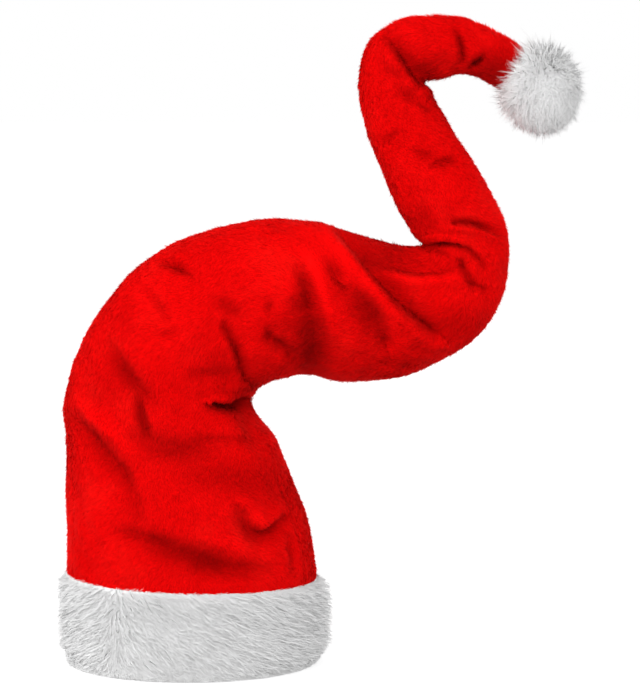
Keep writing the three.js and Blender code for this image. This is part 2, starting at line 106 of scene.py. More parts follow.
POMPOM_REACH = 0.0325  # from the pompom's middle to where its hairs end
POMPOM_TAIL_HOLE = 0.93  # cosine of the angle round the tail without hair
POMPOM_MESS = 0.26  # how much the pompom's hairs cross each other
POMPOM_FALL = 0.35  # how much they hang
SPIKE_REACH = (0.001, 0.007)  # how far its spikes stand out
STRAY_REACH = (0.001, 0.005)
OVER_TAIL_REACH = (0.003, 0.009)  # how far hairs near the tail reach out to lie over it
BAKE_STEP = 0.0006  # a strand's size in the map for baking
LIGHT_TARGET = (0, 0, 0.25)
KEY_POWER = 56
SIDE_POWER = 12
BACK_POWER = 24
WORLD_STRENGTH = ((0.35, 0.65), (0.485, 1.0), (0.56, 1.0), (0.70, 0.75))  # by height, 0.5 level
FLOOR_SHADE = 0.25
FLOOR_GLOW = 0.84

# Mesh fineness
RINGS, ROUND = 380, 200
LINING_STEP = 5  # the lining keeps one ring in this many
LINING_SINK = 3  # and lies under the folds that are within this many points
PILE_RINGS, PILE_ROUND = 760, 300  # finer rings from which the pile grows
PILE_BLADES = 170_000  # in each of two meshes
BAND_HAIRS = 50_000  # in each of two meshes
BAND_TUFTS = 1500
POMPOM_HAIRS = 43_000
POMPOM_TUFTS = 420
POMPOM_SPIKES = 460  # thin locks that stand out
SPIKE_SHARE = 12  # one hair in this many belongs to such a lock

# The fur band's outside, from the floor up, in shares of its height and thickness
PROFILE_UP = (0.00, 0.03, 0.07, 0.14, 0.22, 0.60, 0.75, 0.85, 0.94, 1.00)
PROFILE_OUT = (0.05, 0.35, 0.60, 0.86, 1.00, 1.00, 0.94, 0.85, 0.62, 0.25)

# The crown's sections, from the band to the tail's tip, in the columns named here. side is a share
# of TAIL_REACH and rise one of CROWN_RISE. hold says where on the section that point is, from -1 at
# its left end to 1 at its right end. lean is the section's slope in degrees, body its size as a
# share of the head opening's with the cloth, and tail the share of the tail's that is added.
SECTION_COLUMNS = ("side", "rise", "hold", "lean", "body", "tail")
SECTIONS = np.array([
    (0.000, 0.000, 0.0, 0, 1.000, 0.00),
    (-0.017, 0.102, 0.0, 0, 0.957, 0.00),
    (-0.052, 0.208, 0.0, 0, 0.866, 0.00),
    (-0.073, 0.258, 0.0, -1, 0.815, 0.00),
    (0.199, 0.303, 1.0, -3, 0.750, 0.00),
    (0.194, 0.314, 1.0, -14, 0.680, 0.12),
    (0.218, 0.334, 1.0, -27, 0.620, 0.22),
    (0.277, 0.348, 1.0, -43, 0.570, 0.37),
    (0.345, 0.354, 1.0, -59, 0.480, 0.54),
    (0.415, 0.417, 0.5, -71, 0.420, 0.71),
    (0.537, 0.484, 0.0, -75, 0.300, 0.87),
    (0.652, 0.540, -0.5, -72, 0.130, 1.03),
    (0.686, 0.591, -1.0, -60, 0.000, 1.21),
    (0.708, 0.592, -1.0, -37, 0.000, 1.06),
    (0.702, 0.600, -1.0, -15, 0.000, 1.00),
    (0.677, 0.616, -1.0, 0, 0.000, 1.03),
    (0.718, 0.653, -0.5, 5, 0.000, 1.05),
    (0.745, 0.714, 0.0, 7, 0.000, 1.00),
    (0.692, 0.773, 0.0, 5, 0.000, 0.92),
    (0.715, 0.827, 0.5, 3, 0.000, 0.86),
    (0.738, 0.865, 1.0, -2, 0.000, 0.77),
    (0.725, 0.878, 1.0, -18, 0.000, 0.725),
    (0.727, 0.882, 1.0, -44, 0.000, 0.75),
    (0.766, 0.885, 1.0, -63, 0.000, 0.74),
    (0.816, 0.921, 0.5, -79, 0.000, 0.64),
    (0.886, 0.938, 0.0, -97, 0.000, 0.56),
    (0.954, 0.918, 0.0, -105, 0.000, 0.53),
    (0.994, 0.904, 0.0, -111, 0.000, 0.47),
    (1.014, 0.896, 0.0, -118, 0.000, 0.32),
    (1.031, 0.887, 0.0, -122, 0.000, 0.20),
])
TIP_ROW = len(SECTIONS) - 1

# The folds. A fold runs between two places, each a row of the table above, with fractions between
# rows, and a share across from -1 at the left edge to 1 at the right. bow is how far it bends to
# its left, as a share of its length. width is a share of FOLD_WIDTH and depth one of FOLD_DEPTH; a
# depth below zero makes a ridge. lip is the height of the cloth pushed up beside it, as a share of
# FOLD_DEPTH, on its left if above zero and on its right if below. tuck is how far the lip leans
# over the fold, as a share of FOLD_WIDTH.
FOLD_COLUMNS = ("row", "across", "to_row", "to_across", "bow", "width", "depth", "lip", "tuck")
FRONT_FOLDS = [
    (4.90, 0.98, 4.38, 0.62, 0.04, 0.27, 1.20, -0.35, 0.25),
    (7.20, 0.10, 6.30, 0.80, 0.03, 0.35, 0.60, -0.15, 0.00),
    (5.45, -0.65, 4.35, -0.05, -0.05, 0.60, 0.70, 0.00, 0.00),
    (4.25, -0.20, 3.20, -0.15, 0.00, 0.35, 0.75, 0.00, 0.00),
    (3.05, -0.25, 2.60, 0.45, -0.06, 0.80, 0.60, 0.00, 0.00),
    (3.40, -0.85, 1.85, -0.42, 0.00, 0.65, 0.65, 0.00, 0.00),
    (4.00, -0.80, 2.45, -0.30, 0.00, 0.50, -0.30, 0.00, 0.00),
    (1.82, 0.25, 1.45, 0.95, 0.05, 0.95, 0.48, 0.00, 0.00),
    (1.22, 0.53, 1.07, 0.83, -0.38, 0.46, 0.80, 0.30, 0.10),
    (0.92, -0.50, 0.80, -0.10, 0.00, 0.50, 0.50, 0.00, 0.00),
    (0.72, -0.22, 0.52, 0.28, 0.00, 0.70, 0.75, 0.00, 0.00),
    (0.45, 0.12, 0.30, 0.62, 0.00, 0.60, 0.65, 0.00, 0.00),
    (0.75, 0.85, 0.25, 0.85, 0.00, 0.30, 0.40, 0.00, 0.00),
    (7.20, -0.90, 7.40, -0.65, 0.00, 0.35, 0.50, 0.00, 0.00),
    (9.05, -0.45, 8.98, 0.02, 0.04, 0.50, 0.70, 0.00, 0.00),
    (9.00, 0.10, 8.50, 0.98, 0.03, 1.10, 0.95, 0.00, 0.00),
    (9.25, -0.65, 9.30, 0.30, 0.05, 0.40, -0.35, 0.00, 0.00),
    (7.95, 0.45, 8.15, 0.75, 0.05, 0.50, 0.60, 0.00, 0.00),
    (9.60, -0.55, 9.70, -0.30, 0.00, 0.40, 0.60, 0.00, 0.00),
    (9.85, -0.22, 10.25, 0.42, 0.08, 0.75, 0.85, 0.25, 0.00),
    (9.90, -1.00, 11.40, 0.56, -0.03, 0.45, 0.75, -0.40, 0.05),
    (10.35, -0.75, 13.55, -0.05, -0.09, 0.55, 0.42, -0.35, 0.00),
    (13.60, -0.10, 13.05, 0.30, 0.00, 0.30, 0.60, 0.10, 0.00),
    (14.00, -0.90, 14.50, -0.10, 0.08, 0.22, 0.85, 0.30, 0.20),
    (15.50, -0.05, 14.95, 0.80, 0.08, 0.23, 0.75, -0.20, 0.00),
    (17.40, 0.10, 17.40, 0.65, 0.04, 0.30, 0.45, 0.00, 0.00),
    (22.20, -0.75, 21.40, 0.90, -0.03, 0.45, 0.68, -0.30, 0.05),
    (24.20, -0.50, 24.30, 0.60, 0.06, 0.28, 0.50, 0.00, 0.00),
    (24.75, 0.75, 25.20, 0.25, 0.00, 0.28, 0.45, 0.00, 0.00),
    # short creases, too small for the frame's solid
    (4.20, 0.92, 2.90, 0.85, 0.00, 0.70, 0.35, 0.00, 0.00),
    (4.80, 1.00, 4.50, 0.80, 0.00, 0.55, 0.60, 0.00, 0.00),
    (7.50, -0.25, 7.65, 0.05, 0.00, 0.55, 0.35, 0.00, 0.00),
    (5.65, 0.30, 6.30, 0.65, 0.00, 0.55, 0.30, 0.00, 0.00),
    (3.00, 0.40, 2.85, 0.90, 0.00, 0.35, 0.25, 0.00, 0.00),
    (1.95, -0.45, 1.10, -0.35, 0.07, 0.55, 0.32, 0.00, 0.00),
    (0.85, 0.20, 0.65, 0.50, 0.00, 0.45, -0.15, 0.00, 0.00),
    (6.75, -0.75, 6.55, -0.35, 0.00, 0.35, 0.25, 0.00, 0.00),
    (6.20, -0.30, 6.45, -0.15, 0.00, 0.30, 0.20, 0.00, 0.00),
    (8.30, -0.05, 8.20, 0.10, 0.00, 0.35, 0.30, 0.00, 0.00),
    (8.00, 0.30, 7.90, 0.45, 0.00, 0.35, 0.30, 0.00, 0.00),
    (10.20, 0.40, 10.35, 0.60, 0.00, 0.40, 0.35, 0.00, 0.00),
    (10.85, 0.05, 11.35, 0.52, -0.03, 0.40, 0.28, 0.00, 0.00),
    (13.05, 0.30, 13.15, 0.65, 0.00, 0.25, 0.40, 0.00, 0.00),
    (14.50, -0.10, 13.80, 0.45, 0.09, 0.20, 0.40, 0.15, 0.00),
    (13.70, -0.80, 13.70, -0.45, 0.00, 0.20, 0.25, 0.00, 0.00),
    (17.80, -0.15, 17.70, 0.30, -0.16, 0.35, 0.35, 0.00, 0.00),
    (18.10, -0.80, 18.45, -0.30, 0.00, 0.35, 0.25, 0.00, 0.00),
    (19.90, 0.15, 19.60, 0.55, 0.00, 0.35, 0.30, 0.00, 0.00),
    (19.45, 0.60, 19.10, 0.80, 0.00, 0.30, 0.20, 0.00, 0.00),
    (21.10, -0.20, 21.00, 0.30, 0.00, 0.30, 0.20, 0.00, 0.00),
]
BACK_FOLDS = [
    (3.95, 1.05, 3.85, 0.45, 0.05, 0.60, 1.10, -0.60, 0.50),
    (6.80, 0.00, 4.90, 0.90, 0.10, 0.55, 0.60, -0.20, 0.20),
    (5.60, -0.50, 3.20, -0.05, -0.08, 0.80, 0.60, 0.25, 0.15),
    (2.80, -0.60, 1.30, 0.10, 0.05, 0.90, 0.50, 0.20, 0.10),
    (1.20, 0.30, 0.90, 0.85, -0.25, 0.60, 0.50, 0.25, 0.20),
    (0.90, -0.75, 0.20, -0.10, 0.08, 1.30, 0.40, 0.10, 0.00),
    (9.00, -0.40, 8.20, 1.00, -0.08, 0.85, 1.00, 0.20, 0.20),
    (9.75, -1.00, 11.50, 0.60, 0.06, 0.60, 0.90, -0.45, 0.50),
    (10.60, -0.50, 13.20, -0.05, -0.10, 0.70, 0.60, -0.35, 0.35),
    (13.50, -1.00, 14.30, 0.20, -0.10, 0.40, 0.80, 0.30, 0.35),
    (15.40, -0.20, 15.00, 0.80, 0.10, 0.50, 0.50, 0.00, 0.00),
    (17.90, -0.50, 17.00, 0.40, 0.10, 0.80, 0.35, 0.00, 0.00),
    (22.00, -0.90, 21.00, 1.00, 0.04, 0.50, 0.90, -0.45, 0.50),
    (24.80, -0.30, 24.50, 0.90, -0.10, 0.40, 0.60, 0.00, 0.00),
    # short creases
    (7.20, -0.70, 6.60, -0.20, 0.10, 0.60, 0.35, 0.00, 0.00),
    (2.20, 0.20, 2.00, 0.70, -0.10, 0.80, 0.30, 0.00, 0.00),
    (16.60, -0.60, 16.20, 0.10, -0.10, 0.50, 0.35, 0.00, 0.00),
    (19.40, -0.40, 19.00, 0.40, 0.10, 0.50, 0.30, 0.00, 0.00),
    (12.20, 0.10, 11.60, 0.70, 0.10, 0.60, 0.35, 0.00, 0.00),
]
FOLD_STEPS = 8
FOLD_END = 0.08  # share of a fold's shape that is cut off at each end
FRONT_TO_BACK = 0.35  # half the span, in sines, over which front folds give way to back ones
LIP_PLACE = 1.5  # from the fold's line to the top of its lip, in widths
FOLD_PAINTED_SHADE = 0.50  # painted shade: how much darker the pile is coloured in a fold of full depth
# painted highlight: how much lighter the pile is coloured on a fold's lip
LIP_PAINTED_HIGHLIGHT = 0.20
# the painted shade leaves the pile no darker than this share of its colour
DARKEST = 0.30

# Painted shade: soft areas where the pile is coloured darker for shade: row, place across, radius,
# and how much darker; one below zero is a painted highlight
FRONT_SHADE_PATCHES = [
    (0.60, 0.05, 0.030, 0.06),
    (6.10, 0.92, 0.007, 0.35),
    (2.90, 0.10, 0.030, 0.05),
    (4.55, -0.55, 0.018, 0.12),
    (6.10, -0.65, 0.016, 0.08),
    (8.50, 0.20, 0.020, 0.12),
    (8.75, -0.05, 0.006, 0.18),
    (8.60, 0.70, 0.013, 0.15),
    (19.50, 0.00, 0.045, 0.03),
    (24.00, 0.00, 0.045, 0.07),
    (10.55, -0.85, 0.016, 0.18),
    (11.20, -0.90, 0.014, 0.12),
    (12.30, -0.30, 0.022, -0.06),
    (12.10, 0.55, 0.015, 0.10),
    (12.25, 0.65, 0.020, 0.10),
    (10.50, 0.90, 0.020, 0.06),
    (15.95, -0.62, 0.013, 0.16),
    (15.95, -0.05, 0.007, 0.08),
    (15.35, -0.60, 0.008, 0.08),
    (22.85, 0.55, 0.008, 0.28),
    (25.60, 0.50, 0.017, 0.36),
    (27.50, 0.20, 0.026, 0.28),
]
BACK_SHADE_PATCHES = [
    (1.20, 0.30, 0.035, 0.12),
    (4.20, -0.30, 0.030, 0.10),
    (8.80, 0.60, 0.025, 0.18),
    (12.00, -0.60, 0.025, 0.15),
    (22.00, 0.30, 0.022, 0.12),
    (27.50, 0.20, 0.026, 0.25),
]
FLAT_ROWS = 0.35  # rows above the band over which the folds grow to their full relief
EDGE_RELIEF = 0.25  # share of a fold's relief left at the crown's left and right edges
EDGE_SPAN = 0.45  # span, in sines, over which it grows back
EDGE_WAVES = 0.35  # share of the soft waves left there
# Soft waves of the cloth: height, spacing and seed
SOFT_WAVES = ((0.0011, 0.055, 11), (0.0005, 0.022, 12))
FINE_WAVE = (0.00022, 0.006, 13)
# The pile's drifts: turn in radians, spacing and seed
PILE_DRIFTS = ((0.55, 0.085, 21), (0.20, 0.012, 22))
SEAM_SHARE = 0.92  # how far out across the crown its two side seams run at the band
SEAM_RIDGE = (0.0006, 0.005)  # height and half width of the cloth raised along a seam
SEAM_GROOVE = (0.0018, 0.0012)

TURN = 2 * math.pi
rng = np.random.default_rng(7)


def smoothstep(x, low, high):
    t = np.clip((x - low) / (high - low), 0, 1)
    return t * t * (3 - 2 * t)


def unit(v):
    return v / np.maximum(np.linalg.norm(v, axis=-1, keepdims=True), 1e-12)


def ripple(points, length, seed, waves=18):
    """A smooth random field of about -1 to 1 whose ripples are about length apart."""
    draws = np.random.default_rng(seed)
    ways = unit(draws.normal(size=(waves, 3))) / length * draws.uniform(0.6, 1.5, (waves, 1))
    shifts = draws.uniform(0, TURN, waves)
    total = np.zeros(points.shape[:-1])
    for way, shift in zip(ways, shifts):
        total += np.sin(TURN * (points @ way) + shift)
    return total / math.sqrt(waves)


def head_axis():
    """The head's axis on the floor: the middle of the crown's lowest ring in the frame."""
    corners = np.array([v.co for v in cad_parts["crown"].data.vertices])
    hem = corners[corners[:, 2] < corners[:, 2].min() + 0.0005]
    middle = (hem.min(0) + hem.max(0)) / 2
    return np.array([middle[0], middle[1], 0])


AXIS = head_axis()


# The crown's surface
def column(name, rows):
    """A smooth curve through one column of the section table."""
    values = SECTIONS[:, SECTION_COLUMNS.index(name)]
    at = np.clip(rows, 0, TIP_ROW)
    i = np.minimum(np.floor(at).astype(int), TIP_ROW - 1)
    t = at - i
    a, b, c, d = (values[np.clip(i + k, 0, TIP_ROW)] for k in (-1, 0, 1, 2))
    return b + 0.5 * t * (c - a + t * (2 * a - 5 * b + 4 * c - d + t * (3 * (b - c) + d - a)))


def sections_at(rows):
    """Centre, direction across, and half sizes across and in depth, at each row."""
    rows = np.asarray(rows, float)
    body, tail = column("body", rows), column("tail", rows)
    across = body * (HEAD_LENGTH / 2 + CLOTH) + tail * (TAIL_BREADTH / 2)
    deep = body * (HEAD_BREADTH / 2 + CLOTH) + tail * (TAIL_DEPTH / 2)
    lean = np.radians(column("lean", rows))
    along = np.stack([np.cos(lean), np.zeros_like(lean), np.sin(lean)], -1)
    x = column("side", rows) * TAIL_REACH
    z = BAND_HEIGHT + column("rise", rows) * CROWN_RISE
    point = np.stack([x, np.zeros_like(x), z], -1)
    centre = point - (column("hold", rows) * across)[:, None] * along
    return centre, along, across, deep


def front_place(row, share):
    centre, along, across, _ = sections_at([row])
    return (centre[0] + share * across[0] * along[0])[[0, 2]]


def fold_lines(folds):
    made = []
    for fold in folds:
        named = dict(zip(FOLD_COLUMNS, fold))
        start = front_place(named["row"], named["across"])
        end = front_place(named["to_row"], named["to_across"])
        run = end - start
        bent = (start + end) / 2 + 2 * named["bow"] * np.array([-run[1], run[0]])
        t = np.linspace(0, 1, FOLD_STEPS + 1)[:, None]
        named["line"] = (1 - t) ** 2 * start + 2 * t * (1 - t) * bent + t ** 2 * end
        made.append(named)
    return made


def fold_pull(fold, seen):
    """For points seen from the front: how far out the cloth moves, its slide over the fold, and
    how much darker its pile is coloured, as painted shade in the fold and painted highlight on its
    lip."""
    near = np.full(len(seen), np.inf)
    side, share = np.ones(len(seen)), np.zeros(len(seen))
    way = np.zeros((len(seen), 2))
    line = fold["line"]
    for i in range(FOLD_STEPS):
        run = line[i + 1] - line[i]
        off = seen - line[i]
        t = np.clip(off @ run / (run @ run), 0, 1)
        rest = off - t[:, None] * run
        gap = np.linalg.norm(rest, axis=1)
        closer = gap < near
        near[closer] = gap[closer]
        side[closer] = np.where(run[0] * off[:, 1] - run[1] * off[:, 0] < 0, -1, 1)[closer]
        share[closer] = (i + t[closer]) / FOLD_STEPS
        way[closer] = np.array([-run[1], run[0]]) / np.linalg.norm(run)
    fade = np.sqrt(np.sin(math.pi * (FOLD_END + (1 - 2 * FOLD_END) * share)))
    lip_side = math.copysign(1, fold["lip"])
    away = side * lip_side * near / (fold["width"] * FOLD_WIDTH)
    steep = 1 + min(1, 2 * abs(fold["lip"])) * 0.6 * np.tanh(1.5 * away)
    valley = np.exp(-(away * steep) ** 2)
    ridge = np.exp(-((away - LIP_PLACE) ** 2))
    out = fade * FOLD_DEPTH * (abs(fold["lip"]) * ridge - fold["depth"] * valley)
    lean = np.exp(-((away - 0.9) / 0.7) ** 2)
    slide = -lip_side * (fade * FOLD_WIDTH * fold["tuck"] * lean)[:, None] * way
    # painted shade in the fold, less painted highlight on its lip
    dark = fade * (FOLD_PAINTED_SHADE * fold["depth"] * np.exp(-(away * steep / 1.1) ** 2))
    dark -= fade * LIP_PAINTED_HIGHLIGHT * abs(fold["lip"]) * np.exp(-((away - 1.3) ** 2))
    return out, slide, dark


FOLD_LINES = ((-1, fold_lines(FRONT_FOLDS)), (1, fold_lines(BACK_FOLDS)))


def ring_angles(count):
    even = np.linspace(0, TURN, count, endpoint=False)
    return even + 0.15 * np.sin(2 * even)


def lowest_near(field):
    """The least value of a grid of rings at each point and the eight round it."""
    padded = np.concatenate([field[:1], field, field[-1:]])
    least = np.minimum(np.minimum(padded[:-2], padded[1:-1]), padded[2:])
    return np.minimum(np.minimum(np.roll(least, 1, axis=1), least), np.roll(least, -1, axis=1))


def crown_surface(rows, angles, inset, detail, sink=0):
    """Points of the crown at every row and angle, moved in by inset, and the tone of their pile:
    painted shade in the folds and patches, and painted highlight on the lips.
    Each point lies as deep as the deepest within sink points of it, so that no fold is bridged."""
    centre, along, across, deep = sections_at(rows)
    c, s = np.cos(angles)[None, :, None], np.sin(angles)[None, :, None]
    depth_way = np.array([0.0, 1.0, 0.0])
    flat = centre[:, None] + c * (across[:, None] * along)[:, None]
    flat = flat + s * deep[:, None, None] * depth_way
    normal = c * along[:, None] / across[:, None, None] + s * depth_way / deep[:, None, None]
    normal = unit(normal)
    points = flat.reshape(-1, 3)
    seen = points[:, [0, 2]]
    out, slide, tone = np.zeros(len(points)), np.zeros((len(points), 2)), np.ones(len(points))
    sine = np.broadcast_to(s[..., 0], flat.shape[:2]).ravel()
    for facing, folds in FOLD_LINES:
        share = smoothstep(facing * sine, -FRONT_TO_BACK, FRONT_TO_BACK)
        here = share > 0
        for fold in folds:
            moved, slid, dark = fold_pull(fold, seen[here])
            out[here] += share[here] * moved
            slide[here] += share[here, None] * slid
            # painted shade in the folds, painted highlight on their lips
            tone[here] -= share[here] * dark
        # painted shade, and one painted highlight, in soft patches
        for row, place, size, dark in (FRONT_SHADE_PATCHES if facing < 0 else BACK_SHADE_PATCHES):
            gap = np.linalg.norm(seen[here] - front_place(row, place), axis=1)
            tone[here] -= share[here] * dark * np.exp(-((gap / size) ** 2))
    row_of = np.repeat(rows, len(angles))
    from_edge = smoothstep(np.abs(sine), 0, EDGE_SPAN)
    keep = smoothstep(row_of, 0, FLAT_ROWS) * (EDGE_RELIEF + (1 - EDGE_RELIEF) * from_edge)
    out *= keep
    slide *= (keep * from_edge)[:, None]
    if detail:
        soft = sum(height * ripple(points, spacing, seed) for height, spacing, seed in SOFT_WAVES)
        soft *= EDGE_WAVES + (1 - EDGE_WAVES) * from_edge
        out += soft * smoothstep(row_of, 0, FLAT_ROWS)
        out += FINE_WAVE[0] * ripple(points, *FINE_WAVE[1:])
        out += seam_relief(row_of, np.tile(angles, len(rows)), np.repeat(across, len(angles)))
    shape = (len(rows), len(angles))
    for _ in range(sink):
        out = lowest_near(out.reshape(shape)).ravel()
    moved = points + (out - inset)[:, None] * normal.reshape(-1, 3)
    moved[:, 0] += slide[:, 0]
    moved[:, 2] += slide[:, 1]
    return moved.reshape(*shape, 3), np.clip(tone, DARKEST, 1.15).reshape(shape)


def seam_angles(rows):
    """The two side seams run in front of the crown's edges at the band and meet the edges above."""
    turn_in = math.acos(SEAM_SHARE) * (1 - smoothstep(rows, 1.5, 5))
    return -turn_in, math.pi + turn_in


def seam_relief(rows, angles, across):
    relief = np.zeros(len(rows))
    for seam in seam_angles(rows):
        off = (angles - seam + math.pi) % TURN - math.pi
        for (height, half), way in ((SEAM_RIDGE, 1), (SEAM_GROOVE, -1)):
            relief += way * height * np.exp(-((off * across / half) ** 2))
    return relief


def spread_rows(count):
    """Rows evenly spread along the crown's middle line, and closer in its bends."""
    fine = np.linspace(0, TIP_ROW, 40 * TIP_ROW + 1)
    centre = sections_at(fine)[0]
    steps = np.linalg.norm(np.diff(centre, axis=0), axis=1) + 0.005 * np.diff(fine)
    reached = np.concatenate([[0], np.cumsum(steps)])
    return np.interp(np.linspace(0, reached[-1], count), reached, fine)


def hem_ring(z, inset, angles=None):
    """A plain ring of the crown's first section, behind the band."""
    angles = ring_angles(ROUND) if angles is None else angles
    _, _, across, deep = sections_at([0])
    c, s = np.cos(angles), np.sin(angles)
    normal = unit(np.stack([c / across[0], s / deep[0]], -1))
    x = across[0] * c - inset * normal[:, 0]
    y = deep[0] * s - inset * normal[:, 1]
    return np.stack([x, y, np.broadcast_to(z, len(angles))], -1)


# Meshes
def add_mesh(name, points, faces, material):
    mesh = bpy.data.meshes.new(name)
    faces = np.asarray(faces, np.int32)
    mesh.vertices.add(len(points))
    mesh.vertices.foreach_set("co", (np.asarray(points) + AXIS).astype(np.float32).ravel())
    mesh.loops.add(faces.size)
    mesh.loops.foreach_set("vertex_index", faces.ravel())
    mesh.polygons.add(len(faces))
    mesh.polygons.foreach_set("loop_start", np.arange(0, faces.size, 3, dtype=np.int32))
    mesh.update(calc_edges=True)
    mesh.polygons.foreach_set("use_smooth", np.ones(len(faces), bool))
    piece = bpy.data.objects.new(name, mesh)
    bpy.context.scene.collection.objects.link(piece)
    mesh.materials.append(material)
    return piece


def grid_faces(rings, size):
    """Triangles between rings of size points, each joined to the next, facing out."""
    r, k = np.meshgrid(np.arange(rings - 1), np.arange(size), indexing="ij")
    a = r * size + k
    b = r * size + (k + 1) % size
    c, d = b + size, a + size
    return np.concatenate([np.stack([a, b, c], -1), np.stack([a, c, d], -1)]).reshape(-1, 3)


def fan_faces(ring_start, size, tip):
    k = np.arange(size)
    return np.stack([ring_start + k, ring_start + (k + 1) % size, np.full(size, tip)], -1)


# The crown
def crown_rings():
    """The crown's closed skin as rings: down its inside from near the tip, then up its outside."""
    angles = ring_angles(ROUND)
    rows = spread_rows(RINGS)
    outside, tone = crown_surface(rows, angles, CLOTH_INSET, True)
    inside, _ = crown_surface(rows[:-10], angles, LINING_INSET, False, sink=LINING_SINK)
    inside = inside[::LINING_STEP]
    hem = [hem_ring(HEM_BOTTOM, LINING_INSET), hem_ring(HEM_BOTTOM, 0.0)]
    return np.concatenate([inside[::-1], np.array(hem), outside]), tone


def crown_shell(material):
    rings, tone = crown_rings()
    count, size = rings.shape[:2]
    points = np.concatenate([rings.reshape(-1, 3), [rings[0].mean(0), rings[-1].mean(0)]])
    first = fan_faces(0, size, count * size)[:, ::-1]
    last = fan_faces((count - 1) * size, size, count * size + 1)
    faces = np.concatenate([grid_faces(count, size), first, last])
    shell = add_mesh("crown_plush", points, faces, material)
    tones = np.ones(len(points))
    # the outer cloth darker than its pile as painted shade, with the folds' painted shade and
    # highlight
    tones[(count - len(tone)) * size:-2] = CLOTH_PAINTED_SHADE * tone.ravel()
    add_tone(shell, tones)
    return shell


def add_tone(piece, tones):
    piece.data.attributes.new("tone", "FLOAT", "POINT").data.foreach_set("value", tones)


def cells_of(grid):
    """The four corners of each cell of a grid of rings, and its area."""
    a = grid[:-1]
    b = np.roll(grid, -1, axis=1)[:-1]
    c = np.roll(grid, -1, axis=1)[1:]
    d = grid[1:]
    area = np.linalg.norm(np.cross(c - a, d - b), axis=-1) / 2
    return a, b, c, d, area


def smooth_normals(grid):
    """A normal at each point of a grid of rings."""
    along = np.gradient(grid, axis=0)
    around = np.roll(grid, -1, axis=1) - np.roll(grid, 1, axis=1)
    return unit(np.cross(around, along))


def scatter_on(grid, tone, count, draws):
    """Random places on a grid of rings: point, normal, the ways down the rings and round them, how
    the normal turns along each, place along and round as shares, and tone."""
    a, b, c, d, area = cells_of(grid)
    chance = np.cumsum(area.ravel())
    cell = np.searchsorted(chance, draws.uniform(0, chance[-1], count))
    cell = np.minimum(cell, area.size - 1)
    u, v = draws.uniform(size=(2, count, 1))
    mix = [(1 - u) * (1 - v), u * (1 - v), u * v, (1 - u) * v]

    def at(corners):
        return sum(m * k.reshape(-1, k.shape[-1])[cell] for m, k in zip(mix, corners))

    normals = smooth_normals(grid)
    turned = np.roll(normals, -1, axis=1)
    normal = unit(at((normals[:-1], turned[:-1], turned[1:], normals[1:])))
    point = at((a, b, c, d))
    steps = [(a + b - c - d).reshape(-1, 3)[cell], (b + c - a - d).reshape(-1, 3)[cell]]
    turns = [
        (normals[:-1] + turned[:-1] - turned[1:] - normals[1:]).reshape(-1, 3)[cell],
        (turned[:-1] + turned[1:] - normals[:-1] - normals[1:]).reshape(-1, 3)[cell],
    ]
    bends = [turn / np.linalg.norm(step, axis=1, keepdims=True) for turn, step in zip(turns, steps)]
    down = steps[0]
    down = unit(down - (down * normal).sum(1, keepdims=True) * normal)
    round_it = np.cross(normal, down)
    row = (cell // area.shape[1] + v[:, 0]) / area.shape[0]
    turn = (cell % area.shape[1] + u[:, 0]) / area.shape[1]
    tone = tone[..., None]
    toned = np.roll(tone, -1, axis=1)
    tone = at((tone[:-1], toned[:-1], toned[1:], tone[1:]))[:, 0]
    return point, normal, down, round_it, bends, row, turn, tone


def tuft_lean(points):
    """A smooth random direction that changes from one small tuft of pile to the next."""
    return np.stack([ripple(points, 0.007, seed) for seed in (24, 25, 26)], -1)


def plush_pile(name, outside, tone, count, material, draws):
    """Short flat blades that lie over each other, down the hat, in drifting and tufted directions."""
    point, normal, down, round_it, bends, row, turn, tone = scatter_on(outside, tone, count, draws)
    drift = sum(turn_by * ripple(point, spacing, seed) for turn_by, spacing, seed in PILE_DRIFTS)
    drift += draws.normal(0, 0.18, count)
    lift = np.radians(PILE_LIFT + 1.2 * ripple(point, 0.009, 23) + draws.normal(0, 4, count))
    lying = np.cos(drift)[:, None] * down + np.sin(drift)[:, None] * round_it
    hollow = -((np.cos(drift)[:, None] * bends[0] + np.sin(drift)[:, None] * bends[1]) * lying).sum(1)
    strays = draws.uniform(size=count) < PILE_STRAYS
    lift += np.where(strays, draws.uniform(0.2, 0.7, count), 0)
    lift = np.clip(lift + 0.6 * PILE_LENGTH * np.maximum(hollow, 0), 0.08, 1.2)[:, None]
    way = np.cos(lift) * lying + np.sin(lift) * normal
    wide = unit(np.cross(way, normal) + draws.normal(0, 0.35, (count, 3)))
    wide = unit(wide - (wide * way).sum(1, keepdims=True) * way)
    length = (PILE_LENGTH * draws.uniform(0.75, 1.25, count))[:, None]
    half = (PILE_WIDTH / 2 * draws.uniform(0.7, 1.3, count))[:, None]
    root = point - PILE_ROOT * normal
    corners = np.stack([root - half * wide, root + half * wide, root + length * way], 1)
    facing = (np.cross(corners[:, 1] - corners[:, 0], corners[:, 2] - corners[:, 0]) * normal).sum(1)
    corners[facing < 0] = corners[facing < 0][:, [1, 0, 2]]
    faces = np.arange(3 * count).reshape(-1, 3)
    piece = add_mesh(name, corners.reshape(-1, 3), faces, material)
    shaded = normal + PILE_SHADE * draws.normal(0, 1, (count, 3)) + PILE_TUFT_SHADE * tuft_lean(point)
    shade_as(piece, np.repeat(shaded, 3, axis=0))
    # the blades' random tone over the painted shade and highlight of the folds and patches
    add_tone(piece, np.repeat(tone * (1 + PILE_TONE * draws.normal(0, 1, count)), 3))
    add_bake_map(piece, np.stack([turn, row], -1), np.array([(-1, 0), (1, 0), (0, 4)]))
    return piece


def shade_as(piece, normals):
    """Light falls on the piece's points as on a surface with these normals."""
    piece.data.normals_split_custom_set_from_vertices(unit(normals))


def add_bake_map(piece, centres, shape):
    """A UV map for baking, with each strand as a small figure at its root's place."""
    layer = piece.data.uv_layers.new(name="OFBake")
    places = 0.003 + 0.994 * np.asarray(centres)[:, None] * (1, 0.99) + BAKE_STEP * shape[None]
    layer.data.foreach_set("uv", places.astype(np.float32).ravel())


